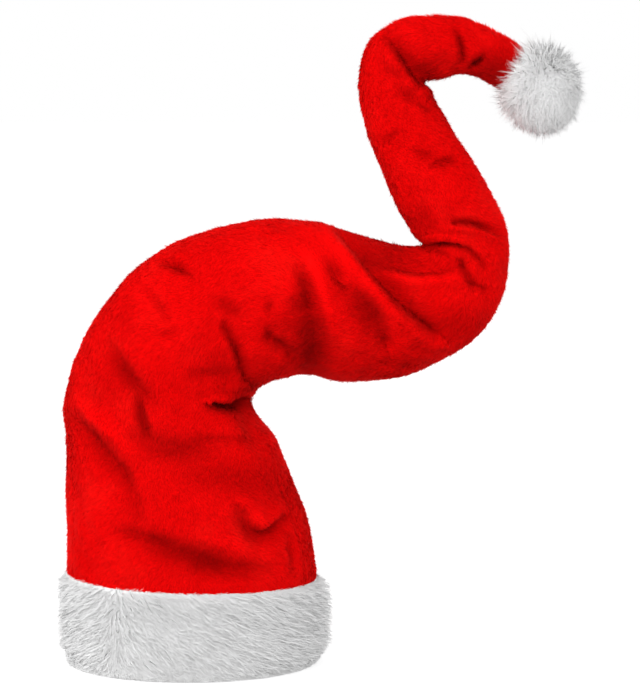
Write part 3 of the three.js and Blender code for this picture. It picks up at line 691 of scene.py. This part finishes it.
# Long fur
def strands(name, paths, wide, widths, shaded, material, centres):
    """Flat tapering strands along paths, which has for each strand its points from root to tip."""
    count, steps = paths.shape[:2]
    left = paths[:, :-1] - wide[:, None] * widths[:, :, None]
    right = paths[:, :-1] + wide[:, None] * widths[:, :, None]
    points = np.concatenate([np.stack([left, right], 2).reshape(count, -1, 3), paths[:, -1:]], 1)
    first = (np.arange(count) * points.shape[1])[:, None, None]
    one = [(2 * i, 2 * i + 1, 2 * i + 3, 2 * i, 2 * i + 3, 2 * i + 2) for i in range(steps - 2)]
    one = np.array(one).reshape(-1, 3)
    one = np.concatenate([one, [(2 * steps - 4, 2 * steps - 3, 2 * steps - 2)]])
    faces = (first + one[None]).reshape(-1, 3)
    piece = add_mesh(name, points.reshape(-1, 3), faces, material)
    shade_as(piece, np.repeat(shaded, points.shape[1], axis=0))
    ladder = [(side, 2 * i) for i in range(steps - 1) for side in (-1, 1)] + [(0, 2 * steps)]
    add_bake_map(piece, centres, np.array(ladder)[one.ravel()])
    return piece


def band_top(angle):
    """The height of the fur band's top edge."""
    return BAND_HEIGHT * (1 - BAND_TILT / 2 * (1 + np.cos(angle)))


def band_point(angle, z, lift):
    """A point over the fur band's outside, and the direction straight out of it."""
    c, s = np.cos(angle), np.sin(angle)
    out = np.interp(z / band_top(angle), PROFILE_UP, PROFILE_OUT)
    out = CLOTH + out * BAND_THICKNESS * (1 + BAND_UNEVEN * c) + lift
    normal = unit(np.stack([c / HEAD_LENGTH, s / HEAD_BREADTH, np.zeros_like(c)], -1))
    on_head = np.stack([HEAD_LENGTH / 2 * c, HEAD_BREADTH / 2 * s, z + np.zeros_like(c)], -1)
    return on_head + out[..., None] * normal, normal


def brim_core(material):
    """The band's backing under the long hairs, with the step behind which the crown's hem lies."""
    size = 160
    angles = np.linspace(0, TURN, size, endpoint=False)
    rings = []
    for z in (HEM_BOTTOM, 0.0):
        x, y = HEAD_LENGTH / 2 * np.cos(angles), HEAD_BREADTH / 2 * np.sin(angles)
        rings.append(np.stack([x, y, np.full(size, z)], -1))
    for up in np.linspace(0, CORE_TOP, 18):
        ring, normal = band_point(angles, up * band_top(angles), -CORE_INSET)
        ring += (0.0007 * ripple(ring, 0.02, 31))[:, None] * normal
        rings.append(ring)
    for z in (CORE_TOP * band_top(angles), HEM_BOTTOM):
        rings.append(hem_ring(z, -0.0003, angles))
    rings.append(rings[0])
    rings = np.array(rings)
    points = rings.reshape(-1, 3)
    faces = grid_faces(len(rings), size)
    last = (len(rings) - 1) * size
    faces = np.where(faces >= last, faces - last, faces)
    return add_mesh("brim_backing", points[:last], faces, material)


def fur_slope(angle, up, draw):
    """How the band's hair lies: its parts along the band and down it."""
    off = (angle - PARTING + math.pi) % TURN - math.pi
    side = np.clip(14.0 * off + 0.12 * draw, -1, 1)
    far = smoothstep(np.abs(off), 0.35, 1.7)
    drop = np.radians(HAIR_DROP + 5 * draw - 20 * far - 8 * smoothstep(up, 0.75, 1.0))
    drop += np.radians(PARTING_DROP) * np.exp(-((off / PARTING_WIDTH) ** 2))
    sideways, fall = side * np.cos(drop), np.sin(drop)
    size = np.hypot(sideways, fall)
    return sideways / size, fall / size


def nearest(places, points):
    """The index of the nearest place to each point."""
    tree = KDTree(len(places))
    for i, place in enumerate(places):
        tree.insert(place, i)
    tree.balance()
    return np.array([tree.find(point)[1] for point in points])


def band_fur(name, count, material, draws):
    """Long hair that parts left of the front and lies away from there on both sides."""
    radius = (HEAD_LENGTH + HEAD_BREADTH) / 4
    spans = np.array([radius, BAND_HEIGHT, 0])
    tufts = np.stack([*draws.uniform((0, 0), (TURN, 1), (BAND_TUFTS, 2)).T, np.zeros(BAND_TUFTS)], -1)
    roots = np.stack([*draws.uniform((0, 0), (TURN, 1), (count, 2)).T, np.zeros(count)], -1)
    near = nearest(tufts * spans, roots * spans)
    gather = ((tufts[near] - roots) * spans * HAIR_GATHER)[:, :2]
    draw = draws.normal(0, 1, BAND_TUFTS)[near]
    tuft_end = draws.uniform(size=BAND_TUFTS)[near]
    angle, up = roots[:, 0], roots[:, 1]
    sideways, fall = fur_slope(angle, up, 0.6 * draw + draws.normal(0, 0.35, count))
    fall = np.maximum(fall, 0.12 * smoothstep(up, 0.7, 0.95))
    edge = draws.uniform(size=count) < EDGE_TUFTS
    up = np.where(edge, draws.uniform(0.955, 0.985, count), up)
    fall = np.where(edge, draws.normal(-0.15, 0.25, count), fall)
    length = HAIR_LENGTH * draws.uniform(0.7, 1.25, count) * (1 - 0.4 * smoothstep(up, 0.8, 1))
    length = np.where(edge, draws.uniform(*EDGE_LENGTH, count), length)
    tip_lift = HAIR_LIFT + 0.0003 * draw + draws.normal(0, 0.0005, count)
    stray = draws.uniform(size=count) < HAIR_STRAYS
    tip_lift = np.where(stray, tip_lift + draws.uniform(0.001, 0.005, count), tip_lift)
    fly = draws.uniform(size=count) < FLYAWAYS
    tip_lift = np.where(fly, draws.uniform(*FLYAWAY_LIFT, count), tip_lift)
    length = np.where(fly & ~edge, draws.uniform(*FLYAWAY_LENGTH, count), length)
    fall = np.where(fly & ~edge, draws.uniform(0.2, 0.8, count), fall)
    end = FLOOR_GAP + RAGGED * (0.5 * tuft_end + 0.5 * draws.uniform(size=count) ** 2)
    room = (up * band_top(angle) - end) / np.maximum(fall, 0.05)
    length = np.minimum(length, np.maximum(room, 0.003))
    tip_lift = np.where(edge, 0.0, tip_lift)
    bend = draws.normal(0, 0.10, count) + 0.08 * draw
    paths = []
    for t in (0, 0.5, 1):
        run = length * t
        a = angle + (run * (sideways - fall * bend * t) + gather[:, 0] * t) / radius
        z = up * band_top(angle) - run * (fall + sideways * bend * t) + gather[:, 1] * t
        rise = (CORE_INSET + HAIR_ROOT + tip_lift) * math.sin(t * math.pi / 2)
        rise *= 0.3 + 0.7 * smoothstep(z, 0, 0.02)
        lift = -CORE_INSET - HAIR_ROOT + rise
        point, normal = band_point(a, np.maximum(z, FLOOR_GAP + 0.0006 * t), lift)
        paths.append(point)
    paths = np.stack(paths, 1)
    run = unit(paths[:, -1] - paths[:, 0])
    spin = np.where(fly, 0.7, 0.3)[:, None]
    wide = unit(np.cross(run, normal) + spin * draws.normal(0, 1, (count, 3)))
    wide = unit(wide - (wide * run).sum(1, keepdims=True) * run)
    inward = (np.cross(wide, run) * normal).sum(1) < 0
    wide[inward] *= -1
    widths = HAIR_WIDTH / 2 * draws.uniform(0.6, 1.3, (count, 1)) * np.array([[1.0, 0.8]])
    widths *= np.where(fly, FLYAWAY_WIDTH, 1)[:, None]
    shaded = normal + (0, 0, 0.15) + FUR_SHADE * draws.normal(0, 1, (count, 3))
    shaded += FUR_TUFT_SHADE * draw[:, None] * np.cross(run, normal)
    return strands(name, paths, wide, widths, shaded, material, roots[:, :2] / (TURN, 1))


def pompom_place():
    centre, along, _, _ = sections_at([TIP_ROW])
    axis = np.array([-along[0, 2], 0, along[0, 0]])
    return centre[0] + POMPOM_AWAY * axis, axis


def sphere_rays(count):
    i = np.arange(count)
    height = 1 - (2 * i + 1) / count
    around = i * math.pi * (3 - math.sqrt(5))
    flat = np.sqrt(1 - height ** 2)
    return np.stack([flat * np.cos(around), flat * np.sin(around), height], -1)


def pompom_core(material):
    centre, _ = pompom_place()
    rings, size = 34, 60
    polar = np.linspace(0, math.pi, rings + 2)[1:-1]
    around = np.linspace(0, TURN, size, endpoint=False)
    ray = np.stack([
        -np.sin(polar)[:, None] * np.cos(around),
        np.sin(polar)[:, None] * np.sin(around),
        np.repeat(np.cos(polar)[:, None], size, 1),
    ], -1)
    reach = POMPOM_CORE + 0.0012 * ripple(ray * POMPOM_CORE, 0.014, 41)
    ends = [(0, 0, POMPOM_CORE), (0, 0, -POMPOM_CORE)]
    points = np.concatenate([(reach[..., None] * ray).reshape(-1, 3), ends])
    points = centre + points * (1, 1, POMPOM_STRETCH)
    top = fan_faces(0, size, rings * size)[:, ::-1]
    bottom = fan_faces((rings - 1) * size, size, rings * size + 1)
    faces = np.concatenate([grid_faces(rings, size), top, bottom])
    return add_mesh("pompom_backing", points, faces, material)


def pompom_fur(name, count, material, draws):
    """Hair all round the pompom with thin spikes that stand out, and some hair over the tail."""
    centre, axis = pompom_place()
    ray = unit(sphere_rays(count) + draws.normal(0, 0.02, (count, 3)))
    spikes = unit(draws.normal(size=(POMPOM_SPIKES, 3)))
    extra = np.arange(count) % SPIKE_SHARE == 0
    which = draws.integers(0, POMPOM_SPIKES, count)
    spike, spike_reach = spikes[which], draws.uniform(*SPIKE_REACH, POMPOM_SPIKES)[which]
    ray = np.where(extra[:, None], unit(spike + draws.normal(0, 0.03, (count, 3))), ray)
    keep = -(ray @ axis) < POMPOM_TAIL_HOLE
    ray, spike, spike_reach = ray[keep], spike[keep], spike_reach[keep]
    extra = extra[keep, None]
    count = len(ray)
    toward_tail = -(ray @ axis)
    tuft_ray = unit(sphere_rays(POMPOM_TUFTS) + draws.normal(0, 0.05, (POMPOM_TUFTS, 3)))
    near = nearest(tuft_ray, ray)
    tuft_way = draws.normal(0, 1, (POMPOM_TUFTS, 3))[near]
    tuft_reach = draws.normal(0, 1, POMPOM_TUFTS)[near]
    gather = np.where(extra, spike - ray, 0.03 * (tuft_ray[near] - ray))
    mess = np.where(extra, 0.02, POMPOM_MESS)
    lean = gather + mess * draws.normal(0, 1, (count, 3)) + 0.03 * tuft_way
    over_tail = (draws.uniform(size=count) < 0.25) & (toward_tail > 0.45)
    back = np.where(over_tail, 0.35, 0.5 * smoothstep(toward_tail, 0.5, 0.9))
    lean -= back[:, None] * axis
    lean[:, 2] -= np.where(extra[:, 0], 0.1, POMPOM_FALL)
    lean -= (lean * ray).sum(1, keepdims=True) * ray
    reach = POMPOM_REACH + 0.0004 * tuft_reach + draws.normal(0, 0.0008, count)
    reach += extra[:, 0] * spike_reach * draws.uniform(0.7, 1, count)
    stray = draws.uniform(size=count) < 0.10
    reach = np.where(stray, reach + draws.uniform(*STRAY_REACH, count), reach)
    reach = np.where(over_tail, reach + draws.uniform(*OVER_TAIL_REACH, count), reach)
    paths = []
    for t in (0, 0.55, 1):
        root = POMPOM_CORE - POMPOM_ROOT
        at = root + (reach - root) * t
        paths.append(centre + at[:, None] * unit(ray + lean * t ** 1.4) * (1, 1, POMPOM_STRETCH))
    paths = np.stack(paths, 1)
    run = unit(paths[:, -1] - paths[:, 0])
    wide = unit(np.cross(run, ray) + draws.normal(0, 0.05, (count, 3)))
    widths = HAIR_WIDTH / 2 * draws.uniform(0.6, 1.3, (count, 1)) * np.array([[1.0, 0.8]])
    shaded = ray * (1, 1, 0.5) + 0.05 * np.cross(wide, run)
    shaded += FUR_SHADE * draws.normal(0, 1, (count, 3)) + 0.5 * FUR_TUFT_SHADE * tuft_way
    centres = np.stack([np.arctan2(ray[:, 1], ray[:, 0]) / TURN % 1, (1 - ray[:, 2]) / 2], -1)
    return strands(name, paths, wide, widths, shaded, material, centres)


# Materials
def new_material(name):
    material = bpy.data.materials.new(name)
    material.use_nodes = True
    nodes = material.node_tree.nodes
    return material, nodes, material.node_tree.links, nodes["Principled BSDF"]


def noise(nodes, links, scale, detail, place):
    node = nodes.new("ShaderNodeTexNoise")
    node.inputs["Scale"].default_value = scale
    node.inputs["Detail"].default_value = detail
    links.new(place.outputs["Object"], node.inputs["Vector"])
    return node.outputs["Fac"]


def ramp(nodes, links, source, stops):
    node = nodes.new("ShaderNodeValToRGB")
    marks = node.color_ramp.elements
    while len(marks) < len(stops):
        marks.new(0.5)
    for mark, (place, colour) in zip(marks, stops):
        mark.position = place
        mark.color = (*colour, 1)
    links.new(source, node.inputs["Fac"])
    return node.outputs["Color"]


def plush_material():
    """Red plush: soft drifts of lighter and darker pile, and a short fine grain."""
    material, nodes, links, shader = new_material("red_plush")
    place = nodes.new("ShaderNodeTexCoord")
    drifts = ramp(nodes, links, noise(nodes, links, 28, 4, place), [
        (0.30, (0.86, 0.0012, 0.0014)),
        (0.55, (0.91, 0.0020, 0.0022)),
        (0.75, (0.95, 0.0045, 0.0034)),
    ])
    # the tone attribute darkens the pile with painted shade in folds, patches and the cloth under the
    # pile, lightens it with painted highlight on fold lips, and adds the blades' random tone
    tone = nodes.new("ShaderNodeAttribute")
    tone.attribute_name = "tone"
    grain = ramp(nodes, links, noise(nodes, links, 900, 2, place), [
        (0.30, (0.92, 0.92, 0.92)),
        (0.70, (1.0, 1.0, 1.0)),
    ])
    both = nodes.new("ShaderNodeMix")
    both.data_type = "RGBA"
    both.blend_type = "MULTIPLY"
    both.inputs["Factor"].default_value = 1.0
    links.new(drifts, both.inputs["A"])
    links.new(grain, both.inputs["B"])
    toned = nodes.new("ShaderNodeVectorMath")
    toned.operation = "SCALE"
    links.new(both.outputs["Result"], toned.inputs[0])
    links.new(tone.outputs["Fac"], toned.inputs["Scale"])
    links.new(toned.outputs["Vector"], shader.inputs["Base Color"])
    bump = nodes.new("ShaderNodeBump")
    bump.inputs["Strength"].default_value = 0.25
    bump.inputs["Distance"].default_value = 0.0006
    links.new(noise(nodes, links, 700, 3, place), bump.inputs["Height"])
    links.new(bump.outputs["Normal"], shader.inputs["Normal"])
    shader.inputs["Roughness"].default_value = 0.92
    shader.inputs["Specular IOR Level"].default_value = 0.02
    shader.inputs["Sheen Weight"].default_value = 0.12
    shader.inputs["Sheen Roughness"].default_value = 0.5
    shader.inputs["Sheen Tint"].default_value = (1.0, 0.06, 0.04, 1)
    return material


def fur_material(name, dark, light):
    """White fur: faint grey drifts and fine streaks."""
    material, nodes, links, shader = new_material(name)
    place = nodes.new("ShaderNodeTexCoord")
    tone = ramp(nodes, links, noise(nodes, links, 60, 5, place), [(0.3, dark), (0.7, light)])
    links.new(tone, shader.inputs["Base Color"])
    shader.inputs["Roughness"].default_value = 0.75
    shader.inputs["Specular IOR Level"].default_value = 0.15
    shader.inputs["Sheen Weight"].default_value = 0.1
    shader.inputs["Sheen Roughness"].default_value = 0.4
    bump = nodes.new("ShaderNodeBump")
    bump.inputs["Strength"].default_value = 0.15
    bump.inputs["Distance"].default_value = 0.0004
    links.new(noise(nodes, links, 1200, 2, place), bump.inputs["Height"])
    links.new(bump.outputs["Normal"], shader.inputs["Normal"])
    return material


# Camera, light and floor
def aim(thing, target):
    way = Vector(target) - thing.location
    thing.rotation_euler = way.to_track_quat("-Z", "Y").to_euler()


def add_camera():
    """The photograph's view: level with the tail's lower bend, looking slightly down."""
    camera = bpy.data.cameras.new("camera")
    camera.sensor_fit = "VERTICAL"
    camera.sensor_height = 24
    view = bpy.data.objects.new("camera", camera)
    bpy.context.scene.collection.objects.link(view)
    middle_x = AXIS[0] + (PHOTO_MIDDLE[0] - PHOTO_AXIS) * PHOTO_SCALE
    middle_z = BAND_HEIGHT + (PHOTO_BAND_TOP - PHOTO_MIDDLE[1]) * PHOTO_SCALE
    pitch = math.radians(CAMERA_PITCH)
    view.location = (
        middle_x,
        -CAMERA_DISTANCE * math.cos(pitch),
        middle_z + CAMERA_DISTANCE * math.sin(pitch),
    )
    camera.lens = camera.sensor_height * CAMERA_DISTANCE / VIEW_HEIGHT
    camera.clip_end = 100
    aim(view, (middle_x, 0, middle_z))
    bpy.context.scene.camera = view


def add_area_light(name, location, size, power):
    light = bpy.data.lights.new(name, "AREA")
    light.size = size
    light.energy = power
    lamp = bpy.data.objects.new(name, light)
    bpy.context.scene.collection.objects.link(lamp)
    lamp.location = location
    aim(lamp, LIGHT_TARGET)


def add_world():
    """White all round where the camera looks, and dimmer straight up and below the floor."""
    world = bpy.data.worlds.new("studio")
    world.use_nodes = True
    nodes, links = world.node_tree.nodes, world.node_tree.links
    place = nodes.new("ShaderNodeTexCoord")
    split = nodes.new("ShaderNodeSeparateXYZ")
    level = nodes.new("ShaderNodeMapRange")
    level.inputs["From Min"].default_value = -1.0
    links.new(place.outputs["Generated"], split.inputs["Vector"])
    links.new(split.outputs["Z"], level.inputs["Value"])
    shades = ramp(nodes, links, level.outputs["Result"], [
        (height, (shade, shade, shade)) for height, shade in WORLD_STRENGTH
    ])
    links.new(shades, nodes["Background"].inputs["Color"])
    bpy.context.scene.world = world


def add_floor():
    material, _, _, shader = new_material("floor")
    shader.inputs["Base Color"].default_value = (FLOOR_SHADE, FLOOR_SHADE, FLOOR_SHADE, 1)
    shader.inputs["Roughness"].default_value = 0.9
    shader.inputs["Specular IOR Level"].default_value = 0.0
    shader.inputs["Emission Color"].default_value = (1, 1, 1, 1)
    shader.inputs["Emission Strength"].default_value = FLOOR_GLOW
    size = 64
    angles = np.linspace(0, TURN, size, endpoint=False)
    ring = np.stack([20 * np.cos(angles), 20 * np.sin(angles), np.zeros(size)], -1)
    points = np.concatenate([ring, [(0, 0, 0)]])
    floor = add_mesh("floor", points, fan_faces(0, size, size), material)
    floor.visible_diffuse = False


def dress():
    plush = plush_material()
    band_white = fur_material("band_fur", (0.78, 0.78, 0.78), (0.84, 0.84, 0.84))
    pompom_white = fur_material("pompom_fur", (0.89, 0.89, 0.89), (0.93, 0.93, 0.93))
    shell = crown_shell(plush)
    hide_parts("crown")
    # tone holds the painted shade and highlight of the folds and patches
    outside, tone = crown_surface(spread_rows(PILE_RINGS), ring_angles(PILE_ROUND), PILE_INSET, True)
    low_ring = hem_ring(0.9 * BAND_HEIGHT, PILE_INSET, ring_angles(PILE_ROUND))
    pile_from = np.concatenate([low_ring[None], outside])
    tone = np.concatenate([tone[:1], tone])
    red = [shell]
    for i in (1, 2):
        red.append(plush_pile(f"crown_pile_{i}", pile_from, tone, PILE_BLADES, plush, rng))
    core = brim_core(band_white)
    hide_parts("brim")
    heart = pompom_core(pompom_white)
    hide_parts("pompom")
    white = [core, heart]
    for i in (1, 2):
        white.append(band_fur(f"brim_fur_{i}", BAND_HAIRS, band_white, rng))
    white.append(pompom_fur("pompom_fur", POMPOM_HAIRS, pompom_white, rng))
    for slot, pieces in (("plush", red), ("fur", white)):
        for piece in pieces:
            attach(piece, "root")


add_camera()
add_world()
add_floor()
add_area_light("key", (-1.0, -2.5, 1.8), 1.8, KEY_POWER)
add_area_light("left_fill", (-2.6, -0.5, 0.8), 1.6, SIDE_POWER)
add_area_light("right_fill", (2.6, -0.5, 0.8), 1.6, SIDE_POWER)
add_area_light("back_fill", (0.6, 2.6, 1.6), 1.6, BACK_POWER)
dress()
bpy.context.scene.view_settings.view_transform = "Standard"
